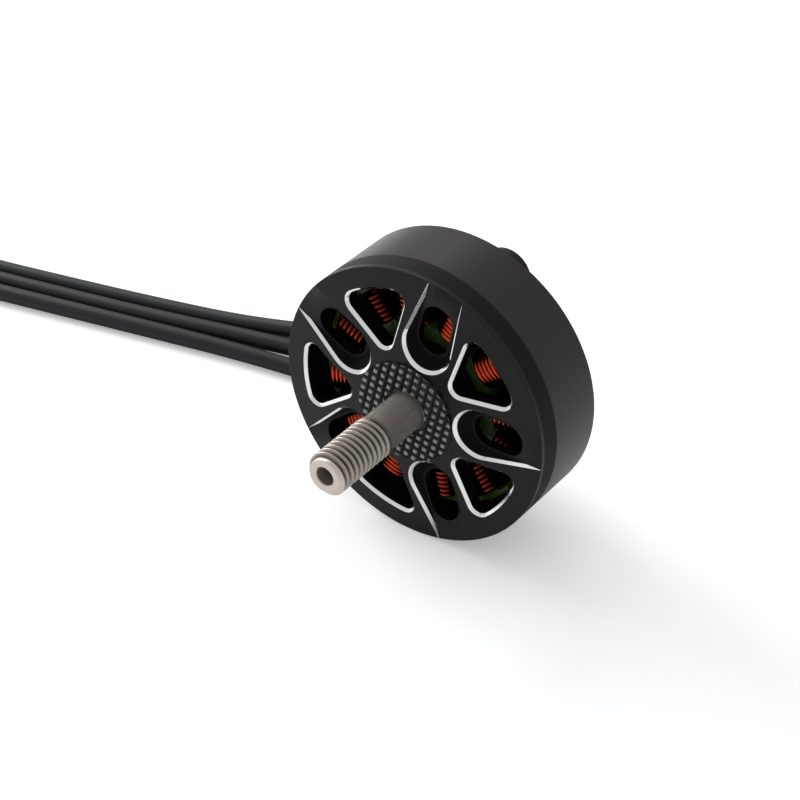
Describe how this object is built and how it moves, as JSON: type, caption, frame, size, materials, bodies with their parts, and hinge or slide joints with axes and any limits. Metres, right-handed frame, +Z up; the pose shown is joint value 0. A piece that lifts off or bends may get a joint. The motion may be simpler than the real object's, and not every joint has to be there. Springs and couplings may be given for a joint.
{
  "type": "brushless outrunner motor",
  "caption": "Outrunner motor: windowed rotating bell with a threaded hollow shaft on a four-armed base, with wound stator and flexible leads.",
  "frame": {"origin": "on the shaft axis, in the plane of the four mounting arms' faces", "axes": "-Y along the shaft towards the propeller, +Z up, as the motor lies on its side on its bell"},
  "size_m": [0.1705, 0.0451, 0.034],
  "materials": {
    "anodised_cap": "satin black anodised, cut edges bright",
    "black_steel": "satin black coated steel",
    "magnet_plating": "nickel plated",
    "anodised_base": "satin black anodised",
    "stator_epoxy": "dark green epoxy powder coat on laminated steel",
    "copper_enamel": "red enamelled copper wire",
    "shaft_steel": "turned steel",
    "fastener_steel": "zinc nickel",
    "bearing_steel": "ground bearing steel",
    "cage_polymer": "moulded polymer",
    "lead_silicone": "black silicone insulation",
    "heat_shrink": "black heat-shrink tube",
    "tinned_wire": "tinned copper strands"
  },
  "bodies": {
    "stator": {"base": "anodised_base", "coil_01": "copper_enamel", "coil_02": "copper_enamel", "coil_03": "copper_enamel", "coil_04": "copper_enamel", "coil_05": "copper_enamel", "coil_06": "copper_enamel", "coil_07": "copper_enamel", "coil_08": "copper_enamel", "coil_09": "copper_enamel", "coil_10": "copper_enamel", "coil_11": "copper_enamel", "coil_12": "copper_enamel", "front_outer_race": "bearing_steel", "front_shields": "bearing_steel", "lead_sleeve_1": "heat_shrink", "lead_sleeve_2": "heat_shrink", "lead_sleeve_3": "heat_shrink", "motor_lead_1": "lead_silicone", "motor_lead_2": "lead_silicone", "motor_lead_3": "lead_silicone", "rear_outer_race": "bearing_steel", "rear_shields": "bearing_steel", "stator_core": "stator_epoxy", "tinned_end_1": "tinned_wire", "tinned_end_2": "tinned_wire", "tinned_end_3": "tinned_wire"},
    "rotor": {"bell_cap": "anodised_cap", "flux_ring": "black_steel", "front_inner_race": "bearing_steel", "hub_spacer": "fastener_steel", "magnet_01": "magnet_plating", "magnet_02": "magnet_plating", "magnet_03": "magnet_plating", "magnet_04": "magnet_plating", "magnet_05": "magnet_plating", "magnet_06": "magnet_plating", "magnet_07": "magnet_plating", "magnet_08": "magnet_plating", "magnet_09": "magnet_plating", "magnet_10": "magnet_plating", "magnet_11": "magnet_plating", "magnet_12": "magnet_plating", "magnet_13": "magnet_plating", "magnet_14": "magnet_plating", "rear_inner_race": "bearing_steel", "retaining_screw": "fastener_steel", "shaft": "shaft_steel", "shaft_washer": "fastener_steel"},
    "front_ball_set": {"front_balls": "bearing_steel", "front_cage": "cage_polymer"},
    "rear_ball_set": {"rear_balls": "bearing_steel", "rear_cage": "cage_polymer"}
  },
  "joints": [
    {"name": "rotor_spin", "type": "hinge", "parent": "stator", "child": "rotor", "pos_m": [0, -0.012, 0], "axis": [0, -1, 0], "continuous": true},
    {"name": "front_ball_orbit", "type": "hinge", "parent": "stator", "child": "front_ball_set", "pos_m": [0, -0.0132, 0], "axis": [0, -1, 0], "continuous": true},
    {"name": "rear_ball_orbit", "type": "hinge", "parent": "stator", "child": "rear_ball_set", "pos_m": [0, -0.0044, 0], "axis": [0, -1, 0], "continuous": true}
  ],
  "couplings": [
    {"joint": "front_ball_orbit", "follows": "rotor_spin", "ratio": 0.4},
    {"joint": "rear_ball_orbit", "follows": "rotor_spin", "ratio": 0.4}
  ]
}
